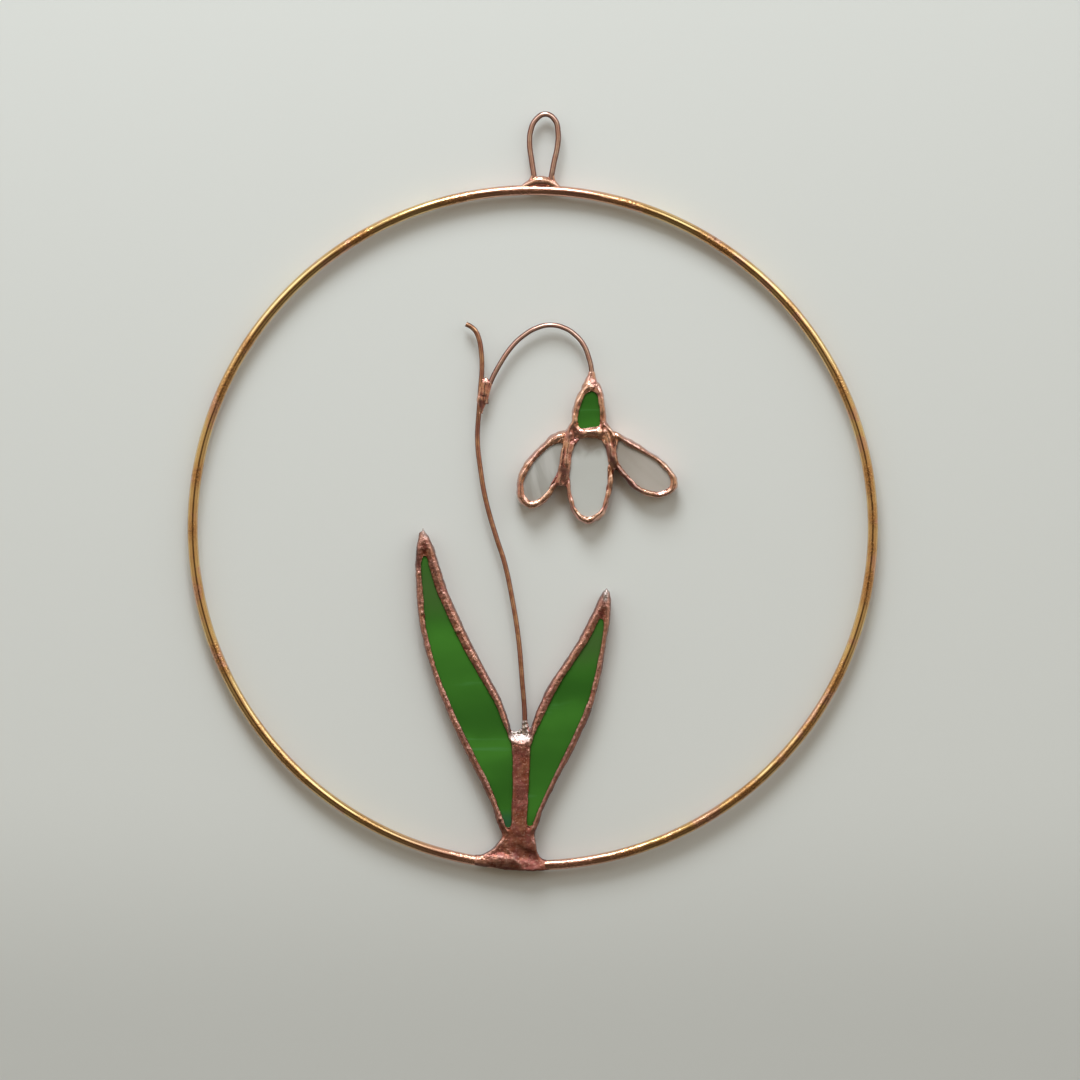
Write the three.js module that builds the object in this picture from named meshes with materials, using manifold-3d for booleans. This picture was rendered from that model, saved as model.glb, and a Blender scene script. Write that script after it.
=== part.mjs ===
// A snowdrop in copper-foiled stained glass, soldered into a brass hoop and hung by a wire loop.
//
// Millimetres, +Z up. The panel hangs upright and its front faces -Y. Every outline below is drawn
// in the plane of the panel as [x, z] from the middle of the hoop, and the finished group is then
// moved so that its origin is the inside top of the hanging loop.

import Module from 'manifold-3d';
import * as THREE from 'three';
import { LoftGeometry } from 'three/addons/geometries/LoftGeometry.js';
import { mergeVertices } from 'three/addons/utils/BufferGeometryUtils.js';

// ---- Driving dimensions -------------------------------------------------------------------

const hoopDiameter = 200; // outside
const hoopWire = 3;
const loopWire = 1.5;
const stemWire = 1.4; // the flower's stem and the arched stalk of its bloom

const glassThickness = 2.6;
const glassBite = 0.42; // share of the foil's width that the glass edge reaches under it
const glassGap = 0.25; // between a glass edge and the foil around it
const seatGap = 0.3; // between pieces that are soldered to each other

const lipThickness = 0.3; // foil and solder at the edge of the visible glass
const beadThickness = 4.8; // front to back over the crown of a foil's solder bead
const seamThickness = 4.7; // front to back over the solder between two pieces of glass
const baseThickness = 4.8;
const footThickness = 3.2;
const jointThickness = 3.2;
const capThickness = 3.6;
const moundThickness = 3.4; // over the solder that holds the hanging loop on the hoop

const seamRounding = 0.9; // how deep the front and back edges of each plate of solder are rounded
const baseRounding = 0.7;
const footRounding = 0.5;
const jointRounding = 0.5;
const capRounding = 0.4;
const moundRounding = 1.1;
const roundingSpread = 0.8; // width of that rounding as a share of its depth

const loopTop = { x: 3.8, z: 120.8 }; // middle of the wire at the top of the hanging loop

// ---- Fineness of the surfaces -------------------------------------------------------------

const hoopSides = 10; // flat sides round the hoop's wire
const hoopFacets = 96; // straight facets along the hoop
const wireSidesPerHalf = 4;
const wireFacet = 2.4; // length of each straight facet along a wire
const loopFacet = 1.6; // the same along the hanging loop, which bends more tightly
const roundingSteps = 3;

// ---- Materials ----------------------------------------------------------------------------

const brass = { color: 0xc79a4b, roughness: 0.22, metalness: 1 };
const copper = { color: 0xa8643f, roughness: 0.35, metalness: 1 };
const bareSolder = { color: 0xa9a49f, roughness: 0.4, metalness: 1 };
const greenGlass = { color: 0x2f6f24, roughness: 0.12, metalness: 0 };
const whiteGlass = { color: 0xc9c9c3, roughness: 0.15, metalness: 0 };

// ---- Glass pieces -------------------------------------------------------------------------
//
// Each station round a piece of glass is [outer x, outer z, inner x, inner z]: a point on the
// outside of its foil and the point across from it where the glass comes into view. Where two
// pieces meet, the outer points follow the middle of the solder between them.

const glassPieces = {
  left_leaf: {
    material: greenGlass,
    samplesPerStation: 2,
    stations: [
      [-31.8, 0.1, -31.1, -6.8],
      [-33.7, -4.8, -32.2, -9.7],
      [-33.8, -17.9, -31.7, -17.9],
      [-32.8, -28.1, -30.9, -28.1],
      [-29.9, -39.8, -28.1, -39.5],
      [-26.3, -50, -24.3, -49.8],
      [-21.4, -61.7, -19, -61.3],
      [-15.4, -73.4, -13.1, -73],
      [-11.7, -81.6, -9.7, -81.5],
      [-9.2, -89, -7.7, -86.9],
      [-6.6, -90.3, -6.8, -88.6],
      [-4, -85, -6.3, -84.4],
      [-3.8, -75, -6, -75],
      [-3.8, -66, -6.1, -66],
      [-5.9, -61.9, -6.9, -61.6],
      [-6.6, -57.4, -8.4, -57.4],
      [-8.9, -50.6, -11.3, -50.3],
      [-16.8, -35.4, -19.7, -35.7],
      [-24.8, -17.9, -27.8, -18.2],
      [-28.6, -5.6, -30.2, -10.3],
    ],
  },
  right_leaf: {
    material: greenGlass,
    samplesPerStation: 2,
    stations: [
      [21.4, -17.3, 20, -25.4],
      [18.8, -21.2, 18.5, -28],
      [13.2, -32.7, 16, -32.9],
      [5.6, -44.2, 8.3, -44.4],
      [2.4, -50, 5.2, -50.3],
      [-0.3, -57, 1.9, -57.4],
      [-1.3, -61.9, 0, -61.6],
      [-3.4, -66, -0.6, -66],
      [-3.4, -75, -1, -75],
      [-3.4, -85, -1.6, -84.4],
      [-1.1, -90.3, -1.3, -88.6],
      [0.7, -89, -0.5, -86.8],
      [3, -82.2, 1.4, -82],
      [7.3, -73.4, 5.3, -73.4],
      [12.7, -62.9, 10.5, -62.7],
      [18.1, -50, 16, -50],
      [21, -35.4, 19.3, -35.6],
      [22.8, -20.6, 20.5, -27.8],
    ],
  },
  ovary: {
    material: greenGlass,
    samplesPerStation: 3,
    stations: [
      [17.3, 43, 16.9, 40.2],
      [15.1, 42.3, 15.2, 39.2],
      [12.1, 37, 13.9, 36],
      [11.1, 32.9, 13.1, 32.5],
      [11.5, 29, 13.7, 30],
      [16.4, 27.7, 16.4, 28.9],
      [21, 29, 19, 30.1],
      [21.2, 32.9, 19.4, 32.9],
      [20.7, 37.9, 19, 37.2],
      [19.4, 42.4, 18.4, 39.4],
    ],
  },
  left_petal: {
    material: whiteGlass,
    samplesPerStation: 3,
    stations: [
      [10, 28.6, 8.3, 25.3],
      [5.7, 27.3, 5.3, 24.2],
      [1.6, 23.6, 2.2, 21.6],
      [-2.2, 19.3, -0.8, 17.8],
      [-4.6, 14, -2.6, 13.4],
      [-4.3, 8.7, -2, 9.6],
      [-0.7, 5.9, 0.1, 8.2],
      [3.4, 7.7, 3.2, 10.1],
      [6.8, 11.6, 5.5, 13.6],
      [9.2, 17.2, 7.4, 17.8],
      [9.5, 22, 8, 21.6],
    ],
  },
  centre_petal: {
    material: whiteGlass,
    samplesPerStation: 3,
    stations: [
      [16.5, 27.5, 16.5, 26.4],
      [22.2, 26.6, 20, 25.6],
      [22.9, 21.2, 21.4, 20.9],
      [23.5, 15.6, 21.7, 15.9],
      [22.5, 9.2, 20.9, 9.9],
      [19.9, 4, 18.9, 5.2],
      [16, 1.4, 16.1, 3.7],
      [12, 4.3, 13.3, 5.5],
      [9.9, 10.1, 11.3, 10.1],
      [9.7, 16, 10.9, 15.9],
      [9.9, 21.5, 11.2, 21.3],
      [10.8, 26.4, 12.9, 25.6],
    ],
  },
  right_petal: {
    material: whiteGlass,
    samplesPerStation: 3,
    stations: [
      [22.8, 28.6, 24.6, 26.2],
      [27.6, 26.3, 28.2, 24],
      [33.1, 23.1, 32.8, 21.6],
      [38, 19.7, 36.8, 18.9],
      [41.7, 14.7, 39.7, 15.1],
      [41.2, 10.9, 39.3, 12.2],
      [36.3, 9.1, 35.8, 10.9],
      [31.1, 10.5, 31.5, 12.2],
      [26.6, 14.4, 27.9, 15.6],
      [23.3, 18.8, 25, 19.3],
      [23, 23, 24.2, 23],
    ],
  },
};

// Half of a foil's section, from the edge of the visible glass (0) to the outside (1), with the
// height of the solder bead there as a share of its crown.
const beadProfile = [
  [0.2, 0.9],
  [0.5, 1],
  [0.82, 0.84],
  [1, 0.45],
];

// ---- Solder between and below the glass ------------------------------------------------------
//
// Each plate of solder has one outline, rounded at its front and back edges.

const solderPlates = {
  leaf_seam_solder: {
    material: copper,
    thickness: seamThickness,
    rounding: seamRounding,
    samplesPerPoint: 1,
    outline: [
      [-6.8, -60.2],
      [-5.2, -60.5],
      [-3.7, -60.6],
      [-2.2, -60.5],
      [-0.5, -60.2],
      [-0.6, -66],
      [-1, -75],
      [-1.6, -85],
      [-1.2, -89.7],
      [-6.8, -89.7],
      [-6.3, -85],
      [-6, -75],
      [-6.1, -66],
    ],
  },
  flower_seam_solder: {
    material: copper,
    thickness: seamThickness,
    rounding: seamRounding,
    samplesPerPoint: 2,
    outline: [
      [8.6, 25.6],
      [7.9, 21.5],
      [7.3, 17.7],
      [6.7, 14.8],
      [7.6, 12.6],
      [9.2, 12.6],
      [10.7, 15.2],
      [11.2, 19.5],
      [11.8, 23.3],
      [13.2, 25.8],
      [16.6, 26.4],
      [19.8, 25.8],
      [21, 23.3],
      [21.6, 19.8],
      [22.6, 17.3],
      [24, 18],
      [24.8, 19.8],
      [24.3, 23],
      [24.7, 26],
      [23.2, 28.7],
      [20.9, 31.2],
      [19.6, 30.6],
      [18.2, 29.2],
      [16.3, 28.9],
      [14.3, 29.3],
      [13.2, 30.6],
      [11.2, 31.3],
      [9.7, 29],
    ],
  },
  base_solder: {
    material: copper,
    thickness: baseThickness,
    rounding: baseRounding,
    samplesPerPoint: 1,
    outline: [
      [-8.7, -90],
      [-10.1, -91.6],
      [-11.3, -93.3],
      [-13.6, -94.8],
      [-16.2, -96],
      [-17.2, -98.2],
      [-8, -99.8],
      [0, -100.1],
      [4.6, -99.9],
      [3.7, -97.4],
      [2.2, -96],
      [1.2, -94],
      [0.9, -90],
    ],
  },
  stem_foot_solder: {
    material: bareSolder,
    thickness: footThickness,
    rounding: footRounding,
    samplesPerPoint: 1,
    outline: [
      [-3.6, -56.3],
      [-1.1, -56.3],
      [-0.9, -58.2],
      [-1.3, -60],
      [-3.6, -60.2],
      [-5.8, -60],
      [-5.3, -59.1],
      [-4.1, -58.3],
    ],
  },
  stem_joint_solder: {
    material: copper,
    thickness: jointThickness,
    rounding: jointRounding,
    samplesPerPoint: 1,
    outline: [
      [-15.5, 43.8],
      [-13.3, 44.1],
      [-12.1, 42.2],
      [-12.5, 39.5],
      [-13.3, 36.8],
      [-14.1, 34.6],
      [-15.8, 34.5],
      [-16.1, 37],
      [-16, 40.5],
    ],
  },
  ovary_cap_solder: {
    material: copper,
    thickness: capThickness,
    rounding: capRounding,
    samplesPerPoint: 1,
    outline: [
      [16, 45.5],
      [18.2, 45.5],
      [19.3, 43.3],
      [15.3, 43.3],
    ],
  },
  hanging_loop_solder: {
    material: copper,
    thickness: moundThickness,
    rounding: moundRounding,
    samplesPerPoint: 1,
    outline: [
      [-3.6, 99.3],
      [-2.6, 100.4],
      [-1.4, 101.2],
      [-0.1, 102.3],
      [1.2, 102.6],
      [4.9, 102.6],
      [6.1, 102.2],
      [7.1, 101.1],
      [8.2, 100.2],
      [9.2, 99],
      [2.9, 98.6],
    ],
  },
};

// ---- Wire routes ----------------------------------------------------------------------------

const stemRoute = [
  [-19.3, 59.6],
  [-17.8, 58.8],
  [-16.5, 57.5],
  [-15.5, 55.1],
  [-14.9, 51.5],
  [-14.7, 46.5],
  [-15.1, 41],
  [-15.5, 35],
  [-16, 26],
  [-15.1, 17.1],
  [-13.6, 8.4],
  [-10.3, -3.3],
  [-8.4, -9.1],
  [-5.9, -20.8],
  [-4.1, -32.5],
  [-3.1, -44.2],
  [-2.4, -53],
  [-2.3, -58.3],
];

const pedicelRoute = [
  [-13.5, 36.4],
  [-13.4, 39.4],
  [-12.4, 42.2],
  [-9.7, 47.6],
  [-5.8, 53.3],
  [-2.7, 56.2],
  [0.8, 58.3],
  [5, 59.3],
  [9.3, 58.4],
  [12.2, 56.5],
  [14.6, 53.7],
  [16.3, 49.5],
  [17, 46.2],
  [17.1, 43.9],
];

const loopRoute = [
  [0.7, 100.6],
  [0.3, 103],
  [-0.3, 107],
  [-0.9, 112],
  [-0.6, 115.6],
  [1, 119.2],
  [loopTop.x, loopTop.z],
  [6.4, 118.9],
  [7.3, 115.4],
  [7.1, 111],
  [6.2, 106.8],
  [5.5, 103],
  [5.1, 100.6],
];

// ---- Solids ---------------------------------------------------------------------------------

const manifoldLibrary = await Module();
manifoldLibrary.setup();

const hoopRadius = (hoopDiameter - hoopWire) / 2; // to the middle of its wire

// Turns a geometry drawn in x and y, with its depth along z, to stand in the plane of the panel.
function stand(geometry) {
  return geometry.rotateX(Math.PI / 2);
}

function toSolid(geometry) {
  const bare = new THREE.BufferGeometry().copy(geometry);
  bare.deleteAttribute('normal');
  bare.deleteAttribute('uv');
  const merged = mergeVertices(bare);
  const vertProperties = new Float32Array(merged.attributes.position.array);
  const triVerts = new Uint32Array(merged.index.array);
  return new manifoldLibrary.Manifold(
    new manifoldLibrary.Mesh({ numProp: 3, vertProperties, triVerts }),
  );
}

function toGeometry(solid) {
  const mesh = solid.getMesh();
  const geometry = new THREE.BufferGeometry();
  geometry.setAttribute('position', new THREE.BufferAttribute(mesh.vertProperties, 3));
  geometry.setIndex(new THREE.BufferAttribute(mesh.triVerts, 1));
  return geometry;
}

function cut(geometry, tools) {
  let solid = toSolid(geometry);
  for (const tool of tools) {
    solid = solid.subtract(toSolid(tool));
  }
  return toGeometry(solid);
}

function smoothOutline(points, samplesPerPoint) {
  const corners = points.map(([x, z]) => new THREE.Vector3(x, z, 0));
  const curve = new THREE.CatmullRomCurve3(corners, true);
  const count = points.length * samplesPerPoint;
  const samples = [];
  for (let step = 0; step < count; step++) {
    const point = curve.getPoint(step / count);
    samples.push(new THREE.Vector2(point.x, point.y));
  }
  return samples;
}

// Outer and inner outlines of a foil, sampled point for point.
function foilOutlines(piece) {
  const outer = piece.stations.map(([x, z]) => [x, z]);
  const inner = piece.stations.map(([, , x, z]) => [x, z]);
  return {
    outer: smoothOutline(outer, piece.samplesPerStation),
    inner: smoothOutline(inner, piece.samplesPerStation),
  };
}

// Outline of a glass piece, which reaches part of the way under its foil, with room round it.
function glassOutline(piece, room = 0) {
  const { outer, inner } = foilOutlines(piece);
  return inner.map((point, index) => {
    const width = point.distanceTo(outer[index]);
    return point.clone().lerp(outer[index], glassBite + room / width);
  });
}

function makeGlass(piece, room = 0) {
  const depth = glassThickness + 2 * room;
  const geometry = new THREE.ExtrudeGeometry(new THREE.Shape(glassOutline(piece, room)), {
    depth,
    bevelEnabled: false,
  });
  return stand(geometry.translate(0, 0, -depth / 2));
}

// Turns a closed geometry the right way round if its faces point inwards.
function facingOut(geometry) {
  const position = geometry.attributes.position;
  const index = geometry.index;
  const corners = [new THREE.Vector3(), new THREE.Vector3(), new THREE.Vector3()];
  let volume = 0;
  for (let face = 0; face < index.count; face += 3) {
    corners.forEach((corner, place) => corner.fromBufferAttribute(position, index.getX(face + place)));
    volume += corners[0].dot(corners[1].clone().cross(corners[2]));
  }
  if (volume < 0) {
    index.array.reverse();
  }
  return geometry;
}

// A foil is one closed ring: a rounded bead on the front and back, and a channel for the glass.
function makeFoil(piece) {
  const { outer, inner } = foilOutlines(piece);
  const channel = glassOutline(piece, glassGap);
  const channelHeight = glassThickness / 2 + glassGap;
  const lipHeight = channelHeight + lipThickness;
  const crown = beadThickness / 2;
  const sections = inner.map((edge, index) => {
    const across = (share, height) => {
      const point = edge.clone().lerp(outer[index], share);
      return new THREE.Vector3(point.x, point.y, height);
    };
    const front = beadProfile.map(([share, height]) => across(share, height * crown));
    const back = beadProfile.map(([share, height]) => across(share, -height * crown)).reverse();
    const floor = channel[index];
    return [
      across(0, lipHeight),
      ...front,
      ...back,
      across(0, -lipHeight),
      across(0, -channelHeight),
      new THREE.Vector3(floor.x, floor.y, -channelHeight),
      new THREE.Vector3(floor.x, floor.y, channelHeight),
      across(0, channelHeight),
    ];
  });
  sections.push(sections[0]);
  return stand(facingOut(new LoftGeometry(sections)));
}

function plateShape(plate) {
  return new THREE.Shape(smoothOutline(plate.outline, plate.samplesPerPoint));
}

function makePlate(plate) {
  const spread = plate.rounding * roundingSpread;
  const geometry = new THREE.ExtrudeGeometry(plateShape(plate), {
    depth: plate.thickness - 2 * plate.rounding,
    bevelThickness: plate.rounding,
    bevelSize: spread,
    bevelOffset: -spread,
    bevelSegments: roundingSteps,
  });
  return stand(geometry.translate(0, 0, plate.rounding - plate.thickness / 2));
}

// The same outline grown by the seat gap, and deep enough to cut through any foil.
function makeCutter(plate) {
  const depth = beadThickness + 2 * seatGap;
  const geometry = new THREE.ExtrudeGeometry(plateShape(plate), {
    depth,
    bevelThickness: seatGap,
    bevelSize: seatGap,
    bevelSegments: 1,
  });
  return stand(geometry.translate(0, 0, -depth / 2));
}

function makeWire(route, diameter, facet = wireFacet) {
  const section = new THREE.Shape().absarc(0, 0, diameter / 2, 0, Math.PI * 2);
  const extrudePath = new THREE.CatmullRomCurve3(route.map(([x, z]) => new THREE.Vector3(x, 0, z)));
  const steps = Math.round(extrudePath.getLength() / facet);
  return new THREE.ExtrudeGeometry(section, { extrudePath, steps, curveSegments: wireSidesPerHalf });
}

function makeHoop(room = 0) {
  return stand(new THREE.TorusGeometry(hoopRadius, hoopWire / 2 + room, hoopSides, hoopFacets));
}

// ---- Assembly -------------------------------------------------------------------------------

const panel = new THREE.Group();

function add(name, geometry, material) {
  const mesh = new THREE.Mesh(geometry, new THREE.MeshStandardMaterial(material));
  mesh.name = name;
  panel.add(mesh);
}

add('hoop', makeHoop(), brass);
add('hanging_loop', makeWire(loopRoute, loopWire, loopFacet), copper);
add('stem_wire', makeWire(stemRoute, stemWire), copper);
add('pedicel_wire', makeWire(pedicelRoute, stemWire), copper);

// Solder is cut back from the hoop, the wires and the glass that it holds.
const roundHoop = makeHoop(seatGap);
const roundLoop = makeWire(loopRoute, loopWire + 2 * seatGap, loopFacet);
const roundStem = makeWire(stemRoute, stemWire + 2 * seatGap);
const roundPedicel = makeWire(pedicelRoute, stemWire + 2 * seatGap);
const roundGlass = Object.values(glassPieces).map((piece) => makeGlass(piece, glassGap));

const cutBackFrom = {
  leaf_seam_solder: roundGlass,
  flower_seam_solder: roundGlass,
  base_solder: [roundHoop],
  stem_foot_solder: [roundStem],
  stem_joint_solder: [roundStem, roundPedicel],
  ovary_cap_solder: [roundPedicel],
  hanging_loop_solder: [roundHoop, roundLoop],
};

for (const [name, plate] of Object.entries(solderPlates)) {
  add(name, cut(makePlate(plate), cutBackFrom[name]), plate.material);
}

// Each foil is cut back from the solder that runs into it.
const { leaf_seam_solder, flower_seam_solder, base_solder } = solderPlates;
const seamCutters = [leaf_seam_solder, flower_seam_solder, base_solder].map(makeCutter);
for (const [name, piece] of Object.entries(glassPieces)) {
  add(`${name}_glass`, makeGlass(piece), piece.material);
  add(`${name}_foil`, cut(makeFoil(piece), seamCutters), copper);
}

panel.position.set(-loopTop.x, 0, -(loopTop.z - loopWire / 2));

const suncatcher = new THREE.Group();
suncatcher.add(panel);

export default suncatcher;
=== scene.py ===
import math

import bmesh
import bpy
import numpy as np
from mathutils import Matrix, Vector, noise


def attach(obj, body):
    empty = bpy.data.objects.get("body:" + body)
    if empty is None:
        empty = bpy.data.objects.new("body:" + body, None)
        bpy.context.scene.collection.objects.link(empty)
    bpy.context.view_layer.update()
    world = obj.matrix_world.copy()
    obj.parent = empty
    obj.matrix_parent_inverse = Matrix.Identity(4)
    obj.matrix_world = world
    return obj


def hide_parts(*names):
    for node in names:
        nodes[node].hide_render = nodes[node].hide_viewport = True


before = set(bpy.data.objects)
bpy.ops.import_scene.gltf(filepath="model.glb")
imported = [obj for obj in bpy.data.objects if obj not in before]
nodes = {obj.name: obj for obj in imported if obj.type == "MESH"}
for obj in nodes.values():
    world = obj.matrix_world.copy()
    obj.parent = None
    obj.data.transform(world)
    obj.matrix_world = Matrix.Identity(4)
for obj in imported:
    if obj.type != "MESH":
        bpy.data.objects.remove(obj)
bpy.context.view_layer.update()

# Shapes are given in millimetres as x, z from the middle of the hoop, seen from the front.
mm = 0.001
weld = 1e-6  # metres, within which points are merged
hoopMiddle = Vector((-3.8 * mm, 0, -120.05 * mm))


def place(x, z):
    return hoopMiddle + Vector((x, 0, z)) * mm


# Straight on and a little above, and so far back that the panel shows no perspective.
camera = {
    "aim": place(2.1, -3.3),
    "distance": 4.0,
    "elevation": 7.0,
    "fieldWidth": 0.3128,  # of the panel, across the picture
    "sensor": 36.0,
}


def makeCamera():
    data = bpy.data.cameras.new("camera")
    data.sensor_width = camera["sensor"]
    data.lens = camera["sensor"] * camera["distance"] / camera["fieldWidth"]
    data.clip_start = 0.01
    data.clip_end = 60
    tilt = math.radians(camera["elevation"])
    back = Vector((0, -math.cos(tilt), math.sin(tilt)))
    viewer = bpy.data.objects.new("camera", data)
    viewer.location = camera["aim"] + back * camera["distance"]
    viewer.rotation_euler = (-back).to_track_quat("-Z", "Y").to_euler()
    bpy.context.collection.objects.link(viewer)
    bpy.context.scene.camera = viewer


makeCamera()
bpy.context.scene.view_settings.view_transform = "Standard"  # keeps the metals rich
print("camera placed")


# A node tree, with short ways to add and link its nodes.
class Sheet:
    def __init__(self, tree):
        self.tree = tree
        self.column = 0

    def node(self, kind, **settings):
        made = self.tree.nodes.new(kind)
        self.column += 1
        made.location = (self.column * 180, 0)
        for key, value in settings.items():
            setattr(made, key, value)
        return made

    def link(self, source, target):
        self.tree.links.new(source, target)

    def fill(self, socket, value):
        if isinstance(value, bpy.types.NodeSocket):
            self.link(value, socket)
        else:
            socket.default_value = value

    def math(self, operation, a, b=0.0):
        made = self.node("ShaderNodeMath", operation=operation)
        self.fill(made.inputs[0], a)
        self.fill(made.inputs[1], b)
        return made.outputs[0]

    def plus(self, a, b):
        return self.math("ADD", a, b)

    def minus(self, a, b):
        return self.math("SUBTRACT", a, b)

    def times(self, a, b):
        return self.math("MULTIPLY", a, b)

    def noise(self, vector, scale, detail=3.0, roughness=0.5, distortion=0.0):
        made = self.node("ShaderNodeTexNoise")
        self.fill(made.inputs["Vector"], vector)
        self.fill(made.inputs["Scale"], scale)
        made.inputs["Detail"].default_value = detail
        made.inputs["Roughness"].default_value = roughness
        made.inputs["Distortion"].default_value = distortion
        return made.outputs["Fac"]

    def span(self, value, low, high, to=(0.0, 1.0)):
        made = self.node("ShaderNodeMapRange", interpolation_type="SMOOTHSTEP")
        self.fill(made.inputs["Value"], value)
        self.fill(made.inputs["From Min"], low)
        self.fill(made.inputs["From Max"], high)
        made.inputs["To Min"].default_value = to[0]
        made.inputs["To Max"].default_value = to[1]
        return made.outputs["Result"]

    def mix(self, amount, a, b):
        made = self.node("ShaderNodeMix", data_type="RGBA")
        self.fill(made.inputs["Factor"], amount)
        self.fill(made.inputs[6], a if isinstance(a, bpy.types.NodeSocket) else (*a, 1))
        self.fill(made.inputs[7], b if isinstance(b, bpy.types.NodeSocket) else (*b, 1))
        return made.outputs[2]

    def move(self, vector, location=(0, 0, 0), scale=(1, 1, 1), rotation=(0, 0, 0)):
        made = self.node("ShaderNodeMapping")
        self.fill(made.inputs["Vector"], vector)
        made.inputs["Location"].default_value = location
        made.inputs["Rotation"].default_value = rotation
        made.inputs["Scale"].default_value = scale
        return made.outputs["Vector"]

    def distance(self, vector, point):
        made = self.node("ShaderNodeVectorMath", operation="DISTANCE")
        self.fill(made.inputs[0], vector)
        made.inputs[1].default_value = point
        return made.outputs["Value"]

    def part(self, vector, axis):
        made = self.node("ShaderNodeSeparateXYZ")
        self.fill(made.inputs[0], vector)
        return made.outputs[axis]

    def bump(self, height, distance):
        made = self.node("ShaderNodeBump")
        made.inputs["Distance"].default_value = distance
        self.fill(made.inputs["Height"], height)
        return made.outputs["Normal"]

    def attribute(self, name):
        return self.node("ShaderNodeAttribute", attribute_name=name).outputs["Fac"]

    # Painted shade: darkens the colour where the surface turns away from the viewer. A rim shade is
    # where that starts and ends, and how far it goes.
    def withPaintedRimShade(self, colour, rimShade, dark):
        start, end, amount = rimShade
        facing = self.node("ShaderNodeLayerWeight").outputs["Facing"]
        return self.mix(self.span(facing, start, end, (0.0, amount)), colour, dark)

    def group(self, tree, **values):
        made = self.node("ShaderNodeGroup", node_tree=tree)
        for key, value in values.items():
            self.fill(made.inputs[key], value)
        return made.outputs


# A node group that takes a vector and a scale.
def newGroup(name, outputs):
    tree = bpy.data.node_groups.new(name, "ShaderNodeTree")
    tree.interface.new_socket(name="Vector", in_out="INPUT", socket_type="NodeSocketVector")
    tree.interface.new_socket(name="Scale", in_out="INPUT", socket_type="NodeSocketFloat")
    for label in outputs:
        tree.interface.new_socket(name=label, in_out="OUTPUT", socket_type="NodeSocketFloat")
    sheet = Sheet(tree)
    given = sheet.node("NodeGroupInput").outputs
    out = sheet.node("NodeGroupOutput").inputs
    return tree, sheet, given["Vector"], given["Scale"], out


def newMaterial(name):
    material = bpy.data.materials.new(name)
    material.use_nodes = True
    tree = material.node_tree
    tree.nodes.clear()
    sheet = Sheet(tree)
    where = sheet.node("ShaderNodeTexCoord").outputs["Object"]
    shader = sheet.node("ShaderNodeBsdfPrincipled")
    output = sheet.node("ShaderNodeOutputMaterial")
    sheet.link(shader.outputs[0], output.inputs["Surface"])
    return material, sheet, where, shader.inputs


# Tarnish: soft wide blotches, and small specks gathered inside them.
tarnishLook = {
    "patchScale": 210.0,
    "blotches": (0.4, 0.62),  # the heights of the noise between which they come up
    "specks": (0.6, 0.68),
    "gathered": (0.42, 0.58),
}


def makeTarnish():
    tree, sheet, where, scale, out = newGroup("tarnish", ["Blotches", "Specks"])
    wide = sheet.noise(where, tarnishLook["patchScale"], 3.0, 0.55, 0.4)
    small = sheet.noise(where, scale, 3.0, 0.6, 0.8)
    specks = sheet.span(small, *tarnishLook["specks"])
    gathered = sheet.span(wide, *tarnishLook["gathered"])
    sheet.link(sheet.span(wide, *tarnishLook["blotches"]), out["Blotches"])
    sheet.link(sheet.times(specks, gathered), out["Specks"])
    return tree


# The fine grain of metal that has run and set: a coarse noise, with a share of a finer one.
grainLook = {"finer": 3.1, "share": 0.3}


def makeGrain():
    tree, sheet, where, scale, out = newGroup("metalGrain", ["Height"])
    coarse = sheet.noise(where, scale, 2.0, 0.5, 0.3)
    fine = sheet.noise(where, sheet.times(scale, grainLook["finer"]), 2.0)
    sheet.link(sheet.plus(coarse, sheet.times(fine, grainLook["share"])), out["Height"])
    return tree


# Sheet glass rolled from two colours: wide and fine streaks along x, and a cloudiness.
streakLook = {
    "wideStretch": (0.14, 1.0, 1.0),
    "fineStretch": (0.07, 1.0, 1.0),
    "finer": 12.0,
}


def makeStreaks():
    tree, sheet, where, scale, out = newGroup("glassStreaks", ["Wide", "Fine", "Cloud"])
    wide = sheet.move(where, scale=streakLook["wideStretch"])
    sheet.link(sheet.noise(wide, scale, 2.0, 0.45, 0.5), out["Wide"])
    fine = sheet.move(where, scale=streakLook["fineStretch"])
    sheet.link(sheet.noise(fine, sheet.times(scale, streakLook["finer"]), 2.0, 0.5, 0.1), out["Fine"])
    sheet.link(sheet.noise(where, scale, 3.0, 0.5, 0.8), out["Cloud"])
    return tree


tarnish = makeTarnish()
grain = makeGrain()
streaks = makeStreaks()
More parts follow.
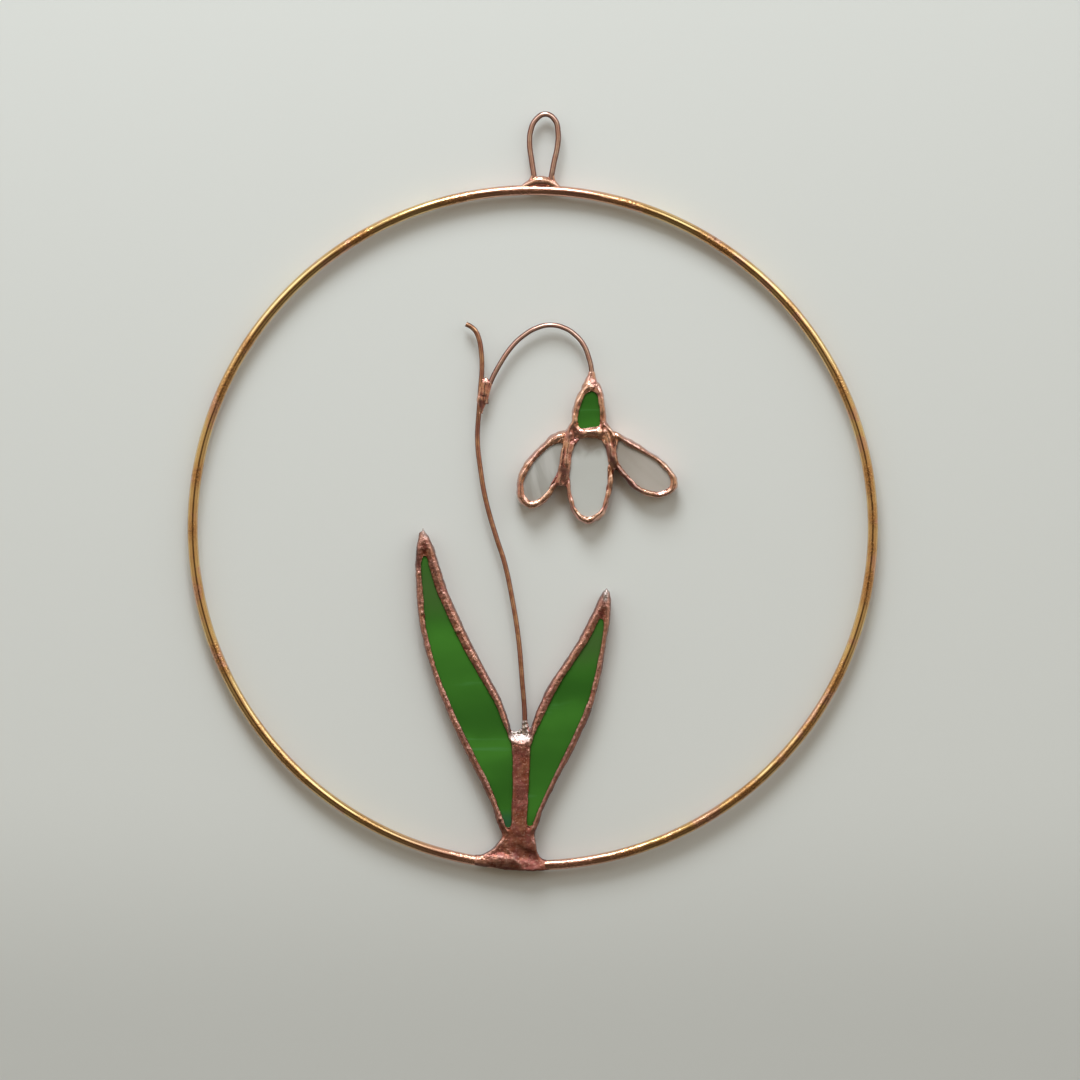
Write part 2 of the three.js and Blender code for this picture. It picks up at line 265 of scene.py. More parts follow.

# Copper-plated solder and copper wire. Crowns are rubbed bright, and hollows keep their dark patina.
# The patina colour is also the painted shade on edges that turn away from the viewer.
copperFinishes = {
    "bloom_copper": {
        "bright": (0.9, 0.5, 0.33), "deep": (0.6, 0.24, 0.12), "rose": (0.66, 0.25, 0.24),
        "patinaAndShade": (0.12, 0.035, 0.045), "rubbed": (0.97, 0.68, 0.53),
        "metallic": 0.95, "roughness": 0.19, "dullRoughness": 0.4, "wax": 0.5,
        "glints": 0.2, "creases": 0.35, "specks": 0.35, "speckScale": 900.0, "rimShade": (0.25, 0.7, 0.4),
        "grain": 1200.0, "grainDepth": 0.00006,
    },
    "leaf_copper": {
        "bright": (0.57, 0.23, 0.145), "deep": (0.33, 0.095, 0.055), "rose": (0.45, 0.15, 0.14),
        "patinaAndShade": (0.07, 0.016, 0.012), "rubbed": (0.82, 0.5, 0.4),
        "metallic": 1.0, "roughness": 0.28, "dullRoughness": 0.48, "wax": 0.28,
        "glints": 0.55, "creases": 0.45, "specks": 0.75, "speckScale": 1000.0, "rimShade": (0.2, 0.65, 0.65),
        "grain": 1350.0, "grainDepth": 0.00026,
    },
    "stem_copper": {
        "bright": (0.74, 0.4, 0.22), "deep": (0.46, 0.19, 0.1), "rose": (0.5, 0.2, 0.15),
        "patinaAndShade": (0.12, 0.04, 0.03), "rubbed": (0.8, 0.48, 0.33),
        "metallic": 0.85, "roughness": 0.3, "dullRoughness": 0.4, "wax": 0.5,
        "glints": 0.0, "creases": 0.0, "specks": 0.2, "speckScale": 1200.0, "rimShade": (0.1, 0.42, 0.85),
        "grain": 1500.0, "grainDepth": 0.000012,
    },
    "loop_copper": {  # the bloom's stalk has it too
        "bright": (1.0, 0.72, 0.58), "deep": (0.84, 0.49, 0.37), "rose": (0.84, 0.46, 0.39),
        "patinaAndShade": (0.15, 0.04, 0.03), "rubbed": (0.95, 0.7, 0.58),
        "metallic": 0.9, "roughness": 0.28, "dullRoughness": 0.4, "wax": 0.25,
        "glints": 0.0, "creases": 0.0, "specks": 0.15, "speckScale": 1200.0, "rimShade": (0.03, 0.3, 0.95),
        "grain": 1500.0, "grainDepth": 0.000012,
    },
}

# What all four have in common. A pair is where an effect starts and where it is full.
copperWear = {
    "toneScale": 380.0, "tone": (0.36, 0.64),
    "blotches": 0.7,  # how far a blotch turns rose
    "crowns": (0.55, 0.95), "rubbed": 0.45,  # which crowns are rubbed, and how far
    "glintScale": 1700.0, "glints": (0.56, 0.66),
    "creases": (0.3, 0.0),
    "deepRoughness": 0.08, "darkRoughness": 0.2,  # added where the metal is deep, stained, specked or under painted shade
    "dullGrain": 0.75,  # the share of the grain that a dull seam loses
    "waxRoughness": 0.2,
}

# Solder that no copper has taken on.
bareLook = {
    "bright": (0.72, 0.7, 0.68), "dull": (0.36, 0.34, 0.34),
    "rose": (0.5, 0.3, 0.24), "pit": (0.06, 0.05, 0.05),
    "toneScale": 900.0, "tone": (0.42, 0.62), "blotches": 0.4, "speckScale": 1300.0,
    "roughness": 0.2, "dullRoughness": 0.2,  # the second is added where it is dull
    "grain": 1800.0, "grainDepth": 0.00012,
}


def makeCopper(name):
    look = copperFinishes[name]
    material, sheet, where, shader = newMaterial(name)
    marks = sheet.group(tarnish, Vector=where, Scale=look["speckScale"])
    crown = sheet.attribute("crown")
    dull = sheet.attribute("dull")
    tone = sheet.span(sheet.noise(where, copperWear["toneScale"], 3.0, 0.6, 0.5), *copperWear["tone"])
    metal = sheet.mix(tone, look["bright"], look["deep"])
    metal = sheet.mix(sheet.times(marks["Blotches"], copperWear["blotches"]), metal, look["rose"])
    rubbed = sheet.times(sheet.span(crown, *copperWear["crowns"]), sheet.minus(1.0, dull))
    metal = sheet.mix(sheet.times(rubbed, copperWear["rubbed"]), metal, look["rubbed"])
    # Painted glints: small specks lightened towards the rubbed colour, standing in for sparkle.
    sparks = sheet.noise(where, copperWear["glintScale"], 2.0, 0.6)
    glints = sheet.span(sparks, *copperWear["glints"], (0.0, look["glints"]))
    metal = sheet.mix(glints, metal, look["rubbed"])
    creases = sheet.span(crown, *copperWear["creases"], (0.0, look["creases"]))
    metal = sheet.mix(creases, metal, look["patinaAndShade"])
    # Painted shade: edges that turn away from the viewer darken towards the patina colour.
    metal = sheet.withPaintedRimShade(metal, look["rimShade"], look["patinaAndShade"])
    # Stains, specks and painted shade darken towards the patina colour.
    dark = sheet.math("MAXIMUM", sheet.attribute("stainAndShade"), sheet.times(marks["Specks"], look["specks"]))
    metal = sheet.mix(dark, metal, look["patinaAndShade"])
    metal = sheet.mix(sheet.attribute("bare"), metal, bareLook["bright"])
    sheet.link(metal, shader["Base Color"])
    shader["Metallic"].default_value = look["metallic"]
    rough = sheet.plus(look["roughness"], sheet.times(tone, copperWear["deepRoughness"]))
    rough = sheet.plus(rough, sheet.times(dull, look["dullRoughness"] - look["roughness"]))
    rough = sheet.plus(rough, sheet.times(dark, copperWear["darkRoughness"]))
    sheet.link(rough, shader["Roughness"])
    lumps = sheet.group(grain, Vector=where, Scale=look["grain"])["Height"]
    lumps = sheet.times(lumps, sheet.minus(1.0, sheet.times(dull, copperWear["dullGrain"])))
    sheet.link(sheet.bump(lumps, look["grainDepth"]), shader["Normal"])
    shader["Coat Weight"].default_value = look["wax"]
    shader["Coat Roughness"].default_value = copperWear["waxRoughness"]
    return material


bloomCopper = makeCopper("bloom_copper")
leafCopper = makeCopper("leaf_copper")
stemCopper = makeCopper("stem_copper")
loopCopper = makeCopper("loop_copper")


def makeBareSolder():
    material, sheet, where, shader = newMaterial("bare_solder")
    marks = sheet.group(tarnish, Vector=where, Scale=bareLook["speckScale"])
    tone = sheet.span(sheet.noise(where, bareLook["toneScale"], 3.0, 0.6, 0.6), *bareLook["tone"])
    metal = sheet.mix(tone, bareLook["bright"], bareLook["dull"])
    metal = sheet.mix(sheet.times(marks["Blotches"], bareLook["blotches"]), metal, bareLook["rose"])
    metal = sheet.mix(marks["Specks"], metal, bareLook["pit"])
    sheet.link(metal, shader["Base Color"])
    shader["Metallic"].default_value = 1.0
    rough = sheet.plus(bareLook["roughness"], sheet.times(tone, bareLook["dullRoughness"]))
    sheet.link(rough, shader["Roughness"])
    lumps = sheet.group(grain, Vector=where, Scale=bareLook["grain"])["Height"]
    sheet.link(sheet.bump(lumps, bareLook["grainDepth"]), shader["Normal"])
    return material


bareSolder = makeBareSolder()

brassLook = {
    "gold": (0.85, 0.59, 0.25), "deep": (0.66, 0.34, 0.12),
    "copper": (0.76, 0.4, 0.28), "fleckAndShade": (0.2, 0.07, 0.03),
    "patchScale": 70.0, "patches": (0.35, 0.65),  # of the deep brass
    "fleckScale": 800.0, "flecks": (0.6, 0.68), "flecked": (0.5, 0.62), "fleckShare": 0.85,
    "scuffScale": 1900.0, "scuffed": (0.46, 0.58), "scuffDepth": 0.00015,
    # Copper has plated out on the brass round both joints, in two patches and as a stray blush. The
    # first four have a middle, and how far from it the copper is full and ends, in metres.
    "plated": [(place(2.9, 99), 0.012, 0.04), (place(-5, -98), 0.02, 0.05),
               (place(73, -65.7), 0.001, 0.009), (place(61.5, -77.5), 0.001, 0.009)],
    "ragged": 0.01,
    "blushScale": 130.0, "blushed": (0.54, 0.62), "blush": 0.7,
    "roughness": 0.24, "fleckRoughness": 0.2,  # the second is added on flecks
    "lacquer": 0.9, "lacquerRoughness": 0.15,
    # painted shade on the edges that turn away from the viewer
    "rimShade": (0.5, 0.95, 0.5),
}


def makeBrass():
    look = brassLook
    material, sheet, where, shader = newMaterial("brass_hoop")
    patches = sheet.noise(where, look["patchScale"], 2.0)
    specks = sheet.span(sheet.noise(where, look["fleckScale"], 3.0, 0.6, 0.5), *look["flecks"])
    flecks = sheet.times(specks, sheet.span(patches, *look["flecked"]))
    scratches = sheet.noise(where, look["scuffScale"], 2.0)
    scuffs = sheet.times(scratches, sheet.span(patches, *look["scuffed"]))
    stray = sheet.noise(where, look["blushScale"], 3.0, 0.6)
    blush = sheet.span(stray, *look["blushed"], (0.0, look["blush"]))
    plated = 0.0
    for middle, near, far in look["plated"]:
        away = sheet.plus(sheet.distance(where, middle), sheet.times(patches, look["ragged"]))
        plated = sheet.math("MAXIMUM", plated, sheet.span(away, far, near))

    metal = sheet.mix(sheet.span(patches, *look["patches"]), look["gold"], look["deep"])
    metal = sheet.mix(sheet.math("MAXIMUM", plated, blush), metal, look["copper"])
    metal = sheet.mix(sheet.times(flecks, look["fleckShare"]), metal, look["fleckAndShade"])
    # Painted shade: the hoop's edges that turn away from the viewer darken towards the fleck colour.
    metal = sheet.withPaintedRimShade(metal, look["rimShade"], look["fleckAndShade"])
    sheet.link(metal, shader["Base Color"])
    shader["Metallic"].default_value = 1.0
    rough = sheet.plus(look["roughness"], sheet.times(flecks, look["fleckRoughness"]))
    sheet.link(rough, shader["Roughness"])
    shader["Coat Weight"].default_value = look["lacquer"]
    shader["Coat Roughness"].default_value = look["lacquerRoughness"]
    sheet.link(sheet.bump(scuffs, look["scuffDepth"]), shader["Normal"])
    return material


brassHoop = makeBrass()
print("metals ready")

glassLook = {"ior": 1.5, "waveDepth": 0.0002}

greenLook = {
    "deep": (0.036, 0.142, 0.018), "fresh": (0.066, 0.245, 0.03), "sage": (0.068, 0.155, 0.036),
    "teal": (0.035, 0.12, 0.06), "line": (0.09, 0.29, 0.075),
    "streakScale": 45.0, "streaks": 0.9,  # how far the rolled streaks turn the glass fresh or deep
    "uneven": 0.012,  # how far the bands wander up and down, in metres
    "tealShare": 0.8, "lines": (0.5, 0.66),
    "roughness": 0.1, "clear": 0.1, "waveScale": 60.0,
}

# Each band is a soft streak across a pane: its height, its half width and how far it turns the glass
# fresh or deep. Sage and teal have only a height and a half width, and bright lines have a strength.
greenPanes = {
    "left_leaf": {
        "middle": 0.5, "shift": (0.013, 0.0, 0.004), "sage": (-18, 13), "teal": (-87, 5),
        "bands": [(-34, 9, 0.45), (-55, 7, -0.35), (-63, 5, 0.45), (-76, 10, -0.42), (-45, 4, 0.1)],
        "lines": [(-61.5, 4, 0.8), (-85, 2, 0.3), (-45.5, 1.5, 0.4)],
    },
    "right_leaf": {
        "middle": 0.5, "shift": (0.2, 0.1, 0.033), "sage": (-33, 9),
        "bands": [(-38, 5, 0.15), (-47, 6, -0.3), (-55, 5, 0.3), (-66, 6, -0.2), (-80, 9, 0.35)],
        "lines": [(-52, 1.5, 0.7), (-75.5, 1.2, 0.6)],
    },
    "ovary": {
        "middle": 0.32, "shift": (0.5, 0.3, 0.01),
        "bands": [(39, 4, -0.4), (31, 3.5, 0.3)],
        "lines": [(35, 2, 0.5), (31, 2, 0.4)],
    },
}


# 1 at the given height, fading to 0 at the half width above and below it.
def bandAcross(sheet, height, middle, halfWidth):
    away = sheet.math("ABSOLUTE", sheet.minus(height, place(0, middle).z))
    return sheet.span(away, halfWidth * mm, 0.0)


def finishGlass(sheet, shader, body, look, waved):
    sheet.link(body, shader["Base Color"])
    shader["Metallic"].default_value = 0.0
    shader["Roughness"].default_value = look["roughness"]
    shader["IOR"].default_value = glassLook["ior"]
    shader["Transmission Weight"].default_value = look["clear"]
    waves = sheet.noise(waved, look["waveScale"], 2.0)
    sheet.link(sheet.bump(waves, glassLook["waveDepth"]), shader["Normal"])


def makeGreenGlass(name):
    pane = greenPanes[name]
    material, sheet, where, shader = newMaterial("green_glass_" + name)
    moved = sheet.move(where, location=pane["shift"])
    rolled = sheet.group(streaks, Vector=moved, Scale=greenLook["streakScale"])
    uneven = sheet.times(sheet.minus(rolled["Cloud"], 0.5), greenLook["uneven"])
    height = sheet.plus(sheet.part(where, "Z"), uneven)
    tone = sheet.times(sheet.minus(rolled["Wide"], 0.5), greenLook["streaks"])
    tone = sheet.plus(pane["middle"], tone)
    for middle, halfWidth, change in pane["bands"]:
        tone = sheet.plus(tone, sheet.times(bandAcross(sheet, height, middle, halfWidth), change))
    body = sheet.mix(sheet.span(tone, 0.0, 1.0), greenLook["deep"], greenLook["fresh"])
    if "sage" in pane:
        body = sheet.mix(bandAcross(sheet, height, *pane["sage"]), body, greenLook["sage"])
    if "teal" in pane:
        teal = sheet.times(bandAcross(sheet, height, *pane["teal"]), greenLook["tealShare"])
        body = sheet.mix(teal, body, greenLook["teal"])
    lines = 0.0
    for middle, halfWidth, amount in pane["lines"]:
        lines = sheet.plus(lines, sheet.times(bandAcross(sheet, height, middle, halfWidth), amount))
    lines = sheet.times(sheet.span(rolled["Fine"], *greenLook["lines"]), lines)
    body = sheet.mix(lines, body, greenLook["line"])
    finishGlass(sheet, shader, body, greenLook, moved)
    return material


whiteLook = {
    "paintedShade": (0.2, 0.155, 0.115), "wisp": (0.74, 0.73, 0.7),
    "streakScale": 260.0, "wisps": (0.46, 0.62),
    "ragged": 0.003,  # how far the edge of the painted shade wanders, in metres
    "roughness": 0.12, "clear": 0.15, "waveScale": 90.0,
}

# Each pane has its milk colour, the slant of its wisps and how strong they are, and an end in painted
# shade: the middle of the shade, how far from it the shade is full and ends, and how strong it is. On
# the centre petal it is the painted shadow of the bar above it.
whitePanes = {
    "left_petal": {
        "milk": (0.49, 0.475, 0.44), "slant": 106, "wisps": 0.55, "shift": (0.1, 0, 0.02),
        "paintedShade": (place(-1, 8), 0.002, 0.011, 0.3),
    },
    "centre_petal": {
        "milk": (0.66, 0.665, 0.63), "slant": 80, "wisps": 0.15, "shift": (0.4, 0, 0.05),
        "paintedShade": (place(16.5, 45), 0.0205, 0.0268, 1.0),
    },
    "right_petal": {
        "milk": (0.54, 0.485, 0.43), "slant": -40, "wisps": 0.12, "shift": (0.7, 0, 0.09),
        "paintedShade": (place(24, 24), 0.002, 0.014, 0.35),
    },
}


def makeWhiteGlass(name):
    pane = whitePanes[name]
    material, sheet, where, shader = newMaterial("white_glass_" + name)
    moved = sheet.move(where, location=pane["shift"], rotation=(0, math.radians(pane["slant"]), 0))
    rolled = sheet.group(streaks, Vector=moved, Scale=whiteLook["streakScale"])
    wisps = sheet.times(sheet.span(rolled["Wide"], *whiteLook["wisps"]), pane["wisps"])
    body = sheet.mix(wisps, pane["milk"], whiteLook["wisp"])
    # Painted shade towards one end of the pane.
    end, near, far, amount = pane["paintedShade"]
    away = sheet.plus(sheet.distance(where, end), sheet.times(rolled["Cloud"], whiteLook["ragged"]))
    body = sheet.mix(sheet.span(away, far, near, (0.0, amount)), body, whiteLook["paintedShade"])
    finishGlass(sheet, shader, body, whiteLook, moved)
    return material


paneGlass = {name: ("green_glass", makeGreenGlass(name)) for name in greenPanes}
paneGlass.update({name: ("white_glass", makeWhiteGlass(name)) for name in whitePanes})
print("glass ready")

rodDetail = {"around": 6, "along": 8}


# A closed round rod through points of x, z and radius, stretched front to back by its depth.
def rodMesh(name, route, depth=1.0):
    curve = bpy.data.curves.new(name, "CURVE")
    curve.dimensions = "3D"
    curve.bevel_depth = mm
    curve.bevel_resolution = rodDetail["around"]
    curve.resolution_u = rodDetail["along"]
    curve.use_fill_caps = True
    spline = curve.splines.new("BEZIER")
    spline.bezier_points.add(len(route) - 1)
    for point, (x, z, radius) in zip(spline.bezier_points, route):
        point.co = place(x, z)
        point.handle_left_type = "AUTO"
        point.handle_right_type = "AUTO"
        point.radius = radius
    holder = bpy.data.objects.new(name, curve)
    bpy.context.collection.objects.link(holder)
    graph = bpy.context.evaluated_depsgraph_get()
    mesh = bpy.data.meshes.new_from_object(holder.evaluated_get(graph))
    bpy.data.objects.remove(holder)
    mesh.transform(Matrix.Diagonal((1, depth, 1, 1)))
    return mesh


# Melts solids and beads into one skin: they swell until they meet, are remeshed, and shrink back.
def meltedMesh(name, parts, settings, beads=()):
    melt = bmesh.new()
    for part in parts:
        melt.from_mesh(nodes[part].data)
    for pinch in settings.get("pinches", ()):
        pinchNear(melt, *pinch)
    for route, depth in beads:
        bead = rodMesh(name + "_bead", route, depth)
        melt.from_mesh(bead)
        bpy.data.meshes.remove(bead)
    bmesh.ops.remove_doubles(melt, verts=melt.verts, dist=weld)
    bmesh.ops.recalc_face_normals(melt, faces=melt.faces[:])
    mesh = bpy.data.meshes.new(name)
    melt.to_mesh(mesh)
    melt.free()
    blank = bpy.data.objects.new(name + "_blank", mesh)
    bpy.context.collection.objects.link(blank)
    swell = blank.modifiers.new("swell", "DISPLACE")
    swell.strength = settings["swell"] * mm
    swell.mid_level = 0
    remesh = blank.modifiers.new("remesh", "REMESH")
    remesh.mode = "VOXEL"
    remesh.voxel_size = settings["voxel"] * mm
    relax = blank.modifiers.new("relax", "SMOOTH")
    relax.factor = 0.5
    relax.iterations = settings["relax"]
    shrink = blank.modifiers.new("shrink", "DISPLACE")
    shrink.strength = -settings["shrink"] * mm
    shrink.mid_level = 0
    graph = bpy.context.evaluated_depsgraph_get()
    done = bpy.data.meshes.new_from_object(blank.evaluated_get(graph))
    done.name = name
    bpy.data.objects.remove(blank)
    bpy.data.meshes.remove(mesh)
    done.materials.clear()
    return done


# Thins what lies near a point, so that a bead laid over it stands out.
def pinchNear(melt, point, reach, share):
    middle = place(*point)
    for vert in melt.verts:
        if math.hypot(vert.co.x - middle.x, vert.co.z - middle.z) < reach * mm:
            vert.co.y *= share


def readPoints(mesh):
    points = np.empty(len(mesh.vertices) * 3)
    mesh.vertices.foreach_get("co", points)
    return points.reshape(-1, 3)


def readNormals(mesh):
    normals = np.empty(len(mesh.vertices) * 3)
    mesh.vertices.foreach_get("normal", normals)
    return normals.reshape(-1, 3)


def writePoints(mesh, points):
    mesh.vertices.foreach_set("co", points.ravel())
    mesh.update()


def flatPlaces(points):
    x = (points[:, 0] - hoopMiddle.x) / mm
    z = (points[:, 2] - hoopMiddle.z) / mm
    return x, z


def eased(values, start, end):
    share = np.clip((values - start) / (end - start), 0, 1)
    return share * share * (3 - 2 * share)


# Solder sets in uneven lumps: each point moves in or out along its normal. A seed shifts the lumps.
def addLumps(mesh, layers, seed):
    points = readPoints(mesh)
    normals = readNormals(mesh)
    offset = Vector((seed * 3.7, seed * 1.3, seed * 2.1))
    for size, depth in layers:
        heights = np.array([noise.noise(Vector(p) / (size * mm) + offset) for p in points])
        points += normals * (heights * depth * mm)[:, None]
    writePoints(mesh, points)


# 1 on a path seen from the front, fading to 0 away from it.
def nearPath(points, path, width):
    x, z = flatPlaces(points)
    flat = np.column_stack((x, z))
    nearest = np.full(len(points), np.inf)
    corners = [np.array(corner, float) for corner in path]
    for start, end in zip(corners, corners[1:] or corners):
        along = end - start
        share = np.clip((flat - start) @ along / max(along @ along, 1e-9), 0, 1)
        away = np.linalg.norm(flat - start - share[:, None] * along, axis=1)
        nearest = np.minimum(nearest, away)
    return np.exp(-((nearest / width) ** 2))


# A ridge along a path on the front.
def raiseAlong(mesh, path, height, width):
    points = readPoints(mesh)
    points[:, 1] -= height * mm * nearPath(points, path, width) * (points[:, 1] < 0)
    writePoints(mesh, points)


def setAttribute(mesh, name, values):
    layer = mesh.attributes.new(name, "FLOAT", "POINT")
    layer.data.foreach_set("value", np.ascontiguousarray(values, dtype=np.float32))


wear = {
    "reach": 10,  # rounds of smoothing that a crown stands out from
    "crowns": (4, 96),  # the percentiles that count as 0 and 1
    "dullEdge": (0.2, 0.6),
    "softSpread": 1.6,  # above 1, so that the middle of a softened spot is softened in full
}


# Where each point would lie after so many rounds of moving to the mean of its neighbours.
def smoothedPoints(mesh, rounds, share=1.0):
    points = readPoints(mesh)
    count = len(points)
    ends = np.empty(len(mesh.edges) * 2, dtype=np.int64)
    mesh.edges.foreach_get("vertices", ends)
    one, other = ends[::2], ends[1::2]
    neighbours = np.bincount(ends, minlength=count)
    for _ in range(rounds):
        total = np.column_stack([
            np.bincount(one, points[other, axis], count) + np.bincount(other, points[one, axis], count)
            for axis in range(3)
        ])
        points += (total / neighbours[:, None] - points) * share
    return points


# Runs the solder smooth near a path, on both faces.
def softenNear(mesh, path, width, rounds):
    near = np.minimum(nearPath(readPoints(mesh), path, width) * wear["softSpread"], 1)
    writePoints(mesh, smoothedPoints(mesh, rounds, near[:, None]))


# The strongest of several soft spots, each a path with its width and strength.
def spotted(points, spots):
    strength = np.zeros(len(points))
    for path, width, amount in spots:
        strength = np.maximum(strength, nearPath(points, path, width) * amount)
    return strength


# "crown" is how far each point stands out from its neighbours: 0 in a crease, 1 on a sharp crown.
def markWear(mesh, stainsAndShade, bare, dulled):
    points = readPoints(mesh)
    height = ((points - smoothedPoints(mesh, wear["reach"])) * readNormals(mesh)).sum(axis=1)
    low, high = np.percentile(height, wear["crowns"])
    setAttribute(mesh, "crown", np.clip((height - low) / (high - low), 0, 1))
    setAttribute(mesh, "stainAndShade", spotted(points, stainsAndShade))
    setAttribute(mesh, "bare", spotted(points, bare))
    setAttribute(mesh, "dull", eased(spotted(points, dulled), *wear["dullEdge"]))


# Softened spots have a path, width and rounds, ridges a path, height and width, and lumps a size and
# depth. Stained, bare and dulled spots have a path, width and strength; some of the stained spots are
# painted shade.
def workSolder(mesh, settings):
    for path, width, rounds in settings.get("softened", ()):
        softenNear(mesh, path, width, rounds)
    for path, height, width in settings.get("ridges", ()):
        raiseAlong(mesh, path, height, width)
    addLumps(mesh, settings["lumps"], settings["seed"])
    markWear(mesh, settings.get("stainsAndShade", ()), settings.get("bare", ()), settings.get("dulled", ()))


def finishPiece(name, mesh, material, slot, *replaced):
    mesh.materials.clear()
    mesh.materials.append(material)
    mesh.shade_smooth()
    piece = bpy.data.objects.new(name, mesh)
    bpy.context.collection.objects.link(piece)
    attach(piece, "root")
    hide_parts(*replaced)
    print(name, len(mesh.polygons), "faces")


bloomSolder = {
    "parts": ["ovary_foil", "left_petal_foil", "centre_petal_foil", "right_petal_foil",
              "flower_seam_solder"],
    "melt": {
        "swell": 0.35, "voxel": 0.2, "relax": 7, "shrink": 0.42,
        "pinches": [((16.4, 28.2), 4.6, 0.72)],  # a point, a reach and the share that stays
    },
    "beads": [
        # the cap round the stalk, and the bar under the ovary
        ([(17.16, 46, 0.84), (17.1, 44.6, 1.1), (16.9, 42.8, 2.1), (16.6, 40.8, 2.8)], 0.85),
        ([(11, 28.5, 1.1), (13.5, 28.3, 1.6), (16.3, 28.3, 1.65), (19, 28.4, 1.6),
          (21.4, 28.7, 1.1)], 1.55),
        # the two seams
        ([(11.4, 29.4, 1.1), (10.6, 27.5, 1.55), (10.1, 25.7, 1.15), (9.9, 24.2, 1.6), (9.7, 22, 1.25),
          (9.5, 20, 1.6), (9.5, 18.2, 1.1), (9.5, 16.4, 1.2)], 1.5),
        ([(20.6, 30.4, 1.1), (21.3, 28.6, 1.7), (21.9, 26.4, 1.2), (22.3, 24.4, 1.6),
          (22.7, 22.2, 1.15), (22.9, 20.4, 1.3), (23, 19.2, 0.9)], 1.5),
        # round the tips of two petals
        ([(10.7, 9.8, 0.6), (11.2, 7.2, 0.75), (11.85, 5.5, 0.85), (12.7, 4.2, 0.95), (14, 3.1, 1.05),
          (16.15, 2.6, 1.1), (18.3, 3.1, 1.05), (19.7, 4.3, 0.95), (20.5, 5.5, 0.9), (21.3, 7.2, 0.8),
          (22.1, 9.8, 0.65)], 1.8),
        ([(-3.5, 14.4, 0.8), (-3.7, 11, 1.1), (-3.3, 9, 1.15), (-2.5, 7.7, 1.1), (-0.6, 6.95, 1.0),
          (1.8, 7.4, 0.95), (3.4, 9, 0.85), (5.2, 11.2, 0.75)], 1.7),
    ],
    "softened": [([(13.5, 28.4), (19, 28.5)], 1.3, 5)],
    "ridges": [
        ([(11, 27.6), (10.4, 25.6), (10.1, 23.8), (9.9, 21.4), (9.7, 19.4)], 0.35, 0.55),
        ([(21.6, 27.6), (22, 25.8), (22.5, 23.6), (22.8, 21.4)], 0.35, 0.55),
    ],
    "lumps": [(4.2, 0.34), (1.9, 0.25), (0.9, 0.05)],
    "seed": 3,
    "stainsAndShade": [
        ([(23.8, 18.9), (25.9, 16.3), (28.2, 13.4), (31.1, 11)], 0.9, 0.75),
        ([(8, 17.5), (10.5, 16.3)], 0.8, 0.6),
        ([(21.2, 23.9), (22.4, 21.5), (23.8, 18.9)], 0.9, 0.7),
        # painted shadow at the bloom's left shoulder
        ([(10.6, 27.1)], 0.8, 0.7),
        ([(12.3, 30)], 0.5, 0.6),
    ],
}

bloomMesh = meltedMesh("bloom_solder", bloomSolder["parts"], bloomSolder["melt"], bloomSolder["beads"])
workSolder(bloomMesh, bloomSolder)
bloomParts = [*bloomSolder["parts"], "ovary_cap_solder"]
finishPiece("bloom_solder", bloomMesh, bloomCopper, "copper_solder", *bloomParts)

hoop = {"diameter": 200.0, "wire": 3.0, "sides": 32, "steps": 400}


# A bead along the hoop, with its outer side flush with the hoop's, through points of x and radius.
def hoopBead(sleeve):
    route = []
    for x, radius in sleeve:
        middle = hoop["diameter"] / 2 - radius
        route.append((x, -math.sqrt(middle ** 2 - x ** 2), radius))
    return route, 1.0


leafKnots = [
    (-21.9, -29.6), (-29.2, -39.8), (-32.8, -12.8), (16.1, -30.3), (3.7, -48.6), (19.8, -39.5),
    (-32.1, -24.3), (20.8, -18.9), (-29.9, -2.6),
]

